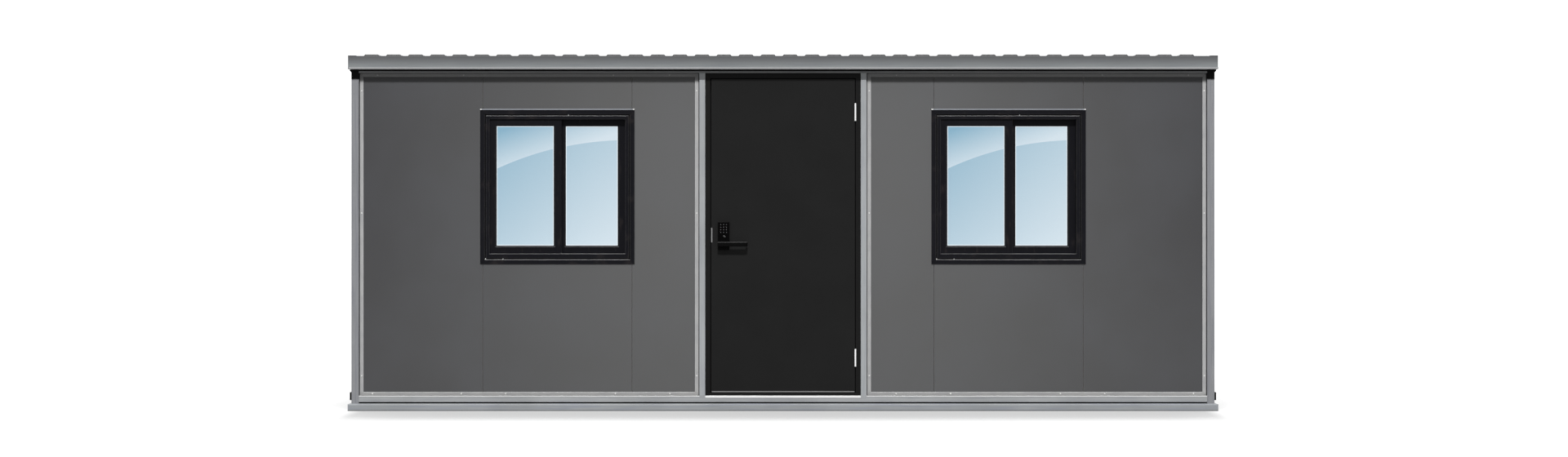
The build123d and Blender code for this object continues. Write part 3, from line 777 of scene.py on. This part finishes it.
# Up-facing ledges and edges of the frame carry painted highlights.
profile, profile_sockets = black_paint(
    "window_profile", 19, 190, gloss=0.4, corner=0.0035, shine=0.05, upward=0.85, ledge_highlight=0.8, blue=4
)
profile_dust = profile.grain(0.035, (3, 1, 3)).rise(0.56, 0.8) * 0.45
profile_sockets["Base Color"] = profile.blend(profile_dust, profile_sockets["Base Color"], tone(58, 53, 52))
profile_u, profile_w = from_middle(profile)
mitre_from, mitre_width = 0.43, 0.0007
off_mitre = abs(abs(profile_u) - abs(profile_w)) > mitre_width
mitre = (1 - off_mitre) * (abs(profile_u) > mitre_from)
profile_sockets["Base Color"] = profile.blend(mitre, profile_sockets["Base Color"], tone(4))
window_profile = profile.surface(profile_sockets)
dress(window_profile, "window_left_frame", "window_right_frame")

# Up-facing ledges and edges of the sashes carry painted highlights.
sash_black, sash_sockets = black_paint(
    "window_sash", 17, 150, gloss=0.4, corner=0.003, shine=0.05, upward=0.85, ledge_highlight=0.6, blue=4
)
sash_dust = sash_black.grain(0.03, (1, 1, 4)).rise(0.55, 0.8) * 0.5
sash_sockets["Base Color"] = sash_black.blend(sash_dust, sash_sockets["Base Color"], tone(56, 50, 49))
sash_profile = sash_black.surface(sash_sockets)
for side in ("left", "right"):
    dress(sash_profile, f"window_{side}_front_sash", f"window_{side}_rear_sash")

strip_height, strip_out, strip_nose, tab_length = 0.007, 0.006, 0.0012, 0.011
strip_low = window_box["right"][1].z
flange_half = window_box["right"][1].x - window_x
panel_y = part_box("front_right_panels")[0].y
strips, tabs = bmesh.new(), bmesh.new()
strip_section = [
    (panel_y, strip_low),
    (panel_y - strip_out, strip_low),
    (panel_y - strip_out, strip_low + strip_nose),
    (panel_y - strip_nose, strip_low + strip_height),
    (panel_y, strip_low + strip_height),
]
strip_half = flange_half - tab_length
for middle in (-window_x, window_x):
    drawn_strip(strips, strip_section, middle - strip_half, middle + strip_half, 0)
    for end in (middle - flange_half, middle + strip_half):
        drawn_strip(tabs, strip_section, end, end + tab_length, 0)
strip_face = drawn_metal(
    "head_strip_metal",
    tone(138, 142, 148),
    tone(120, 124, 131),
    brushing=(0.0012, (60, 1, 1)),
    metallic=0.2,
    smooth=0.36,
    corner=0.0006,
)
ride_piece("window_head_strips", close_mesh("window_head_strips", strips, strip_face), "cabin")
ride_piece("window_head_tabs", close_mesh("window_head_tabs", tabs, screw_zinc), "cabin")

groove_sunk, groove_inset = 0.007, 0.035
groove_y, groove_half = window_box["right"][0].y + groove_sunk, flange_half - groove_inset
groove_places = [(0.074, groove_half), (-0.365, -groove_half), (-0.482, -groove_half)]
frame_screws = []
for middle in (-window_x, window_x):
    frame_screws += [(middle + across, groove_y, window_z + up) for across, up in groove_places]
frame_screw_width, frame_screw_height = 0.007, 0.003
frame_groups = [(frame_screws, (0, -1, 0))]
drive_screws("window_screws", frame_groups, frame_screw_width, frame_screw_height, "cabin")

# The panes' colour is a painted sky reflection: deep blue below a curved sweep, paling across and down.
sky_glass = Finish("window_glass")
glass_u, glass_w = from_middle(sky_glass)
glass_z = glass_w + window_z
deep_blue, pale_blue, edge_blue = tone(139, 179, 201), tone(213, 227, 236), tone(238, 247, 252)
sweep_u, sweep_z, sweep_radius = 0.47, -0.275, 2.087
out_u, out_z = glass_u - sweep_u, glass_z - sweep_z
radius = sky_glass.add("ShaderNodeMath", {"operation": "SQRT"}, {0: out_u * out_u + out_z * out_z})
sweep_blur = 0.002
above = (radius - sweep_radius).rise(-sweep_blur, sweep_blur)
glass_start = -0.217


def paling(level, across, down, top):
    """Share of the pale blue in the painted sky reflection, from its level at the pane's start and its
    growth across and down.
    """
    return level + across * (glass_u - glass_start) + down * (top - glass_z)


pale_below = paling(0.36, across=0.567, down=0.62, top=1.573)
pale_above = paling(0.16, across=1.227, down=3.33, top=1.885)
below_sweep = sky_glass.blend(pale_below, deep_blue, pale_blue)
above_sweep = sky_glass.blend(pale_above, deep_blue, pale_blue)
painted_sky_reflection = sky_glass.blend(above, below_sweep, above_sweep)
pane_low, pane_high, edge_width = 1.1025, 1.9045, 0.0055
near_side = 1.0
for pane_start, pane_end in ((-0.4095, -0.026), (0.051, 0.4005)):
    pane_middle, pane_reach = (pane_start + pane_end) / 2, (pane_end - pane_start) / 2
    off_pane = abs(glass_u - pane_middle)
    inside = off_pane < pane_reach - edge_width
    near_side = near_side * (1 - inside)
level = abs(glass_z - (pane_low + pane_high) / 2)
near_end = level > (pane_high - pane_low) / 2 - edge_width
pane_edge = near_end.maths("MAXIMUM", near_end, near_side)
glass = sky_glass.surface(
    {
        "Base Color": sky_glass.blend(pane_edge * 0.8, painted_sky_reflection, edge_blue),
        "Metallic": 0.85,
        "Roughness": sky_glass.grain(0.2) * 0.03 + 0.06,
    }
)
dress(glass, "window_left_glass", "window_right_glass")


# Roof frame and ceiling. Box beams, rafters and battens in grey primer lie on the walls, over a
# white-faced ceiling board.
beam_paint, beam_sockets = sprayed_steel("roof_frame_steel", tone(120), tone(104), (8, 8, 8), 0.5)
dress(beam_paint.surface(beam_sockets), "roof_long_beams", "roof_end_beams", "roof_rafters", "roof_battens")
ceiling = Finish("ceiling_paint")
ceiling_cloud = ceiling.grain(0.4)
dress(
    ceiling.surface(
        {
            "Base Color": ceiling.blend(ceiling_cloud, tone(228, 227, 223), tone(212, 211, 206)),
            "Roughness": ceiling_cloud * 0.1 + 0.6,
            "Normal": ceiling.bump(ceiling.grain(0.003), 0.0001),
        }
    ),
    "ceiling_panel",
)


# Eaves seal. A black rubber strip closes the joint between the fascia's foot and the top rails
# on all four walls. It always lies in the eaves' shade, and its black is partly painted shade.
seal_height, seal_out = 0.009, 0.003
seal_x, seal_y = end_box[1].x, -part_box("front_top_rail")[0].y
seal_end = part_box("front_top_rail")[1].x
seal = bmesh.new()
for side in (-1, 1):
    long_seal = flat_bar(side * seal_y, side * seal_out, eaves_height - seal_height, eaves_height)
    drawn_strip(seal, long_seal, -seal_end, seal_end, 0)
    end_seal = flat_bar(side * seal_x, side * seal_out, eaves_height - seal_height, eaves_height)
    drawn_strip(seal, end_seal, -end_box[1].y, end_box[1].y, 1)
# Black rubber, partly painted shade under the fascia's foot.
eaves_shade_rubber = black_moulding("eaves_rubber", 6, 20, 0.0016)
ride_piece("eaves_seal", close_mesh("eaves_seal", seal, eaves_shade_rubber), "cabin")


# Roof edge. Fascias folded from coated steel, painted darker towards the roof as painted shade,
# with a painted highlight along their hemmed foot.
fascia_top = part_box("roof_fascia_front")[1].z
fascia_tone, fascia_streak = tone(134, 138, 139), tone(124, 128, 132)
fascia, fascia_sockets = sprayed_steel("fascia_paint", fascia_tone, fascia_streak, (26, 26, 1))
# Painted shade: darker towards the top of the fascia.
shaded = fascia.along("Z").rise(eaves_height, fascia_top)
fascia_sockets["Base Color"] = fascia.blend(shaded, fascia_sockets["Base Color"], tone(85, 86, 88))
hem_height, hem_blur = 0.011, 0.002
hem_top = eaves_height + hem_height
# Painted highlight along the hemmed foot.
hem_highlight = 1 - fascia.along("Z").rise(hem_top, hem_top + hem_blur)
fascia_sockets["Base Color"] = fascia.blend(hem_highlight * 0.8, fascia_sockets["Base Color"], tone(152, 152, 153))
dress(fascia.surface(fascia_sockets), "roof_fascia_front", "roof_fascia_back", "roof_fascia_ends")


# Roof sheet. Ribbed coated steel screwed down through its valleys on the beams and battens. Dust
# has settled in the valleys and water has left marks across the ribs.
sheet_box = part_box("roof_sheet")
sheet = Finish("roof_sheet_steel")
sheet_low = 1 - sheet.along("Z").rise(sheet_box[0].z, sheet_box[1].z)
sheet_marks = sheet.grain(0.05, (1, 9, 1)).rise(0.4, 0.75)
sheet_colour = sheet.blend(sheet_low * 0.35, tone(124, 125, 129), tone(148, 145, 138))
dress(
    sheet.surface(
        {
            "Base Color": sheet.blend(sheet_marks * 0.3, sheet_colour, tone(98, 98, 100)),
            "Metallic": 0.15,
            "Roughness": sheet_marks * 0.15 + 0.42,
            "Normal": sheet.bump(sheet.grain(0.003), 0.0001, sheet.rounded(0.0008)),
        }
    ),
    "roof_sheet",
)

rib_pitch, rib_foot, rib_flank, rib_height, valley_place = 0.147, 0.102, 0.008, 0.010, -0.026
middle_rib = valley_place + rib_pitch / 2
ribs_left = int((-sheet_box[0].x - rib_foot / 2 + middle_rib) // rib_pitch)
ribs_right = int((sheet_box[1].x - rib_foot / 2 - middle_rib) // rib_pitch)


def row_tree():
    """Tree that repeats a piece along the building at one pitch."""
    sizes = {"Piece": "Geometry", "Count": "Int", "Pitch": "Float", "Finish": "Material"}
    nodes, given = start_tree("rib_row", sizes, "Row")
    step = nodes.add("ShaderNodeCombineXYZ", inputs={"X": given["Pitch"]})
    line = nodes.add("GeometryNodeMeshLine", inputs={"Count": given["Count"], "Offset": step})
    placed = nodes.add("GeometryNodeInstanceOnPoints", inputs={"Points": line, "Instance": given["Piece"]})
    return finish_tree(nodes, placed, given["Finish"], "Row")


closure_start, closure_end = 0.003, 0.015
closure_play, closure_top_play = 0.001, 0.0002
closure_half = rib_foot / 2 - closure_play
closure_height = rib_height - closure_top_play
closure_x = middle_rib - ribs_left * rib_pitch
closure = bmesh.new()
for side in (-1, 1):
    rings = []
    for inset in (closure_start, closure_end):
        y = side * (sheet_box[1].y - inset)
        outline = (
            (-closure_half, 0.0),
            (rib_flank - closure_half, closure_height),
            (closure_half - rib_flank, closure_height),
            (closure_half, 0.0),
        )
        rings.append([closure.verts.new((closure_x + x, y, sheet_box[0].z + z)) for x, z in outline])
    closure.faces.new(rings[0])
    closure.faces.new(rings[1])
    for step in range(4):
        after = (step + 1) % 4
        closure.faces.new((rings[0][step], rings[0][after], rings[1][after], rings[1][step]))
closure_grey = Finish("closure_strip")
closure_pores = closure_grey.grain(0.002, detail=4.0)
closure_face = closure_grey.surface(
    {
        "Base Color": closure_grey.blend(closure_pores, tone(150), tone(122)),
        "Roughness": closure_pores * 0.2 + 0.7,
        "Normal": closure_grey.bump(closure_pores, 0.0004),
    }
)
closure_row = grow(
    "rib_closures",
    close_mesh("rib_closures", closure, closure_face),
    row_tree(),
    {"Count": ribs_left + ribs_right + 1, "Pitch": rib_pitch, "Finish": closure_face},
)
ride_piece("rib_closures", closure_row, "cabin")

beam_line, batten_line, sheet_steel, sheet_edge = 1.157, 0.56, 0.002, 0.01
sheet_lines = (-beam_line, -batten_line, 0.0, batten_line, beam_line)
valleys = [valley_place + step * rib_pitch for step in range(-ribs_left, ribs_right + 2)]
valleys = [x for x in valleys if abs(x) < sheet_box[1].x - sheet_edge]
sheet_screws = [(x, y, sheet_box[0].z + sheet_steel) for y in sheet_lines for x in valleys]
sheet_groups = [(sheet_screws, (0, 0, 1))]
sheet_screw_width, sheet_screw_height = 0.014, 0.005
drive_screws("roof_screws", sheet_groups, sheet_screw_width, sheet_screw_height, "cabin")


# Stage. A pale floor with a painted contact shadow near the cabin, a white sky and a soft sun in
# front and above. The camera stands twelve metres before the front, as high as the door's keypad.
stage = bpy.data.meshes.new("floor")
half_floor = 60
floor_corners = [(half_floor * x, half_floor * y, 0) for x, y in ((-1, -1), (1, -1), (1, 1), (-1, 1))]
stage.from_pydata(floor_corners, [], [(0, 1, 2, 3)])
floor = bpy.data.objects.new("floor", stage)
bpy.context.scene.collection.objects.link(floor)
ground = Finish("floor_white")
seen = {name: ground.add("ShaderNodeLightPath", output=name) for name in ("Is Camera Ray", "Is Glossy Ray")}
shown = seen["Is Camera Ray"].maths("MAXIMUM", seen["Is Camera Ray"], seen["Is Glossy Ray"])
plain = ground.add("ShaderNodeBsdfDiffuse", inputs={"Color": tone(145)})
pale = ground.add("ShaderNodeBsdfDiffuse", inputs={"Color": tone(137)})
shade_reach = 0.8
# Painted contact shadow: the floor's glow to the camera dims where the cabin occludes it.
contact = ground.add("ShaderNodeAmbientOcclusion", {"samples": 8}, {"Distance": shade_reach}, output="AO")
glow_near, glow_far = 0.34, 0.72
front_start, front_end = cad_box[0].y - 0.02, cad_box[0].y + 0.05
side_start, side_end = cad_box[1].x - 0.12, cad_box[1].x + 0.02
before = 1 - ground.along("Y").rise(front_start, front_end)
before = before * (1 - abs(ground.along("X")).rise(side_start, side_end))
wide, narrow = contact.rise(0.84, 1.0), contact.rise(0.45, 0.66)
lift = (wide * before + narrow * (1 - before)) * (glow_far - glow_near) + glow_near
glow = ground.add("ShaderNodeEmission", inputs={"Color": (1, 1, 1, 1), "Strength": lift})
lifted = ground.add("ShaderNodeAddShader", inputs={0: pale, 1: glow})
top_coat = ground.add("ShaderNodeMixShader", inputs={0: shown, 1: plain, 2: lifted})
ground.add("ShaderNodeOutputMaterial", inputs={"Surface": top_coat})
stage.materials.append(ground.material)

sky_front, sky_back = 0.12, 1.3
bpy.context.scene.world = bpy.data.worlds.new("white_sky")
bpy.context.scene.world.use_nodes = True
air = Nodes(bpy.context.scene.world.node_tree)
direction = air.add("ShaderNodeTexCoord", output="Generated")
behind = air.add("ShaderNodeSeparateXYZ", inputs={"Vector": direction}, output="Y").rise(-0.6, 0.05)
sky_light = behind * (sky_back - sky_front) + sky_front
rays = [
    air.add("ShaderNodeLightPath", output=name)
    for name in ("Is Camera Ray", "Is Glossy Ray", "Is Transmission Ray")
]
white = rays[0].maths("MAXIMUM", rays[0], rays[1])
white = white.maths("MAXIMUM", white, rays[2])
strength = sky_light.maths("MAXIMUM", sky_light, white)
sky = air.add("ShaderNodeBackground", inputs={"Color": (1, 1, 1, 1), "Strength": strength})
air.add("ShaderNodeOutputWorld", inputs={"Surface": sky})

sun_height, sun_side = math.radians(48.5), math.radians(1)
sun_out = math.cos(sun_height)
towards_sun = Vector((math.sin(sun_side) * sun_out, -math.cos(sun_side) * sun_out, math.sin(sun_height)))
sun = bpy.data.lights.new("sun", "SUN")
sun.energy = 3.4
sun.angle = math.radians(4)
lamp = bpy.data.objects.new("sun", sun)
bpy.context.scene.collection.objects.link(lamp)
lamp.rotation_euler = towards_sun.to_track_quat("Z", "Y").to_euler()

camera_across, camera_back, camera_height = 0.0068, 12.0, 1.217
view_width = 10.445
lens = bpy.data.cameras.new("camera")
lens.lens = lens.sensor_width * camera_back / view_width
camera = bpy.data.objects.new("camera", lens)
camera.location = (camera_across, cad_box[0].y - camera_back, camera_height)
camera.rotation_euler = (math.pi / 2, 0, 0)
bpy.context.scene.collection.objects.link(camera)
bpy.context.scene.camera = camera
bpy.context.scene.view_settings.view_transform = "Standard"
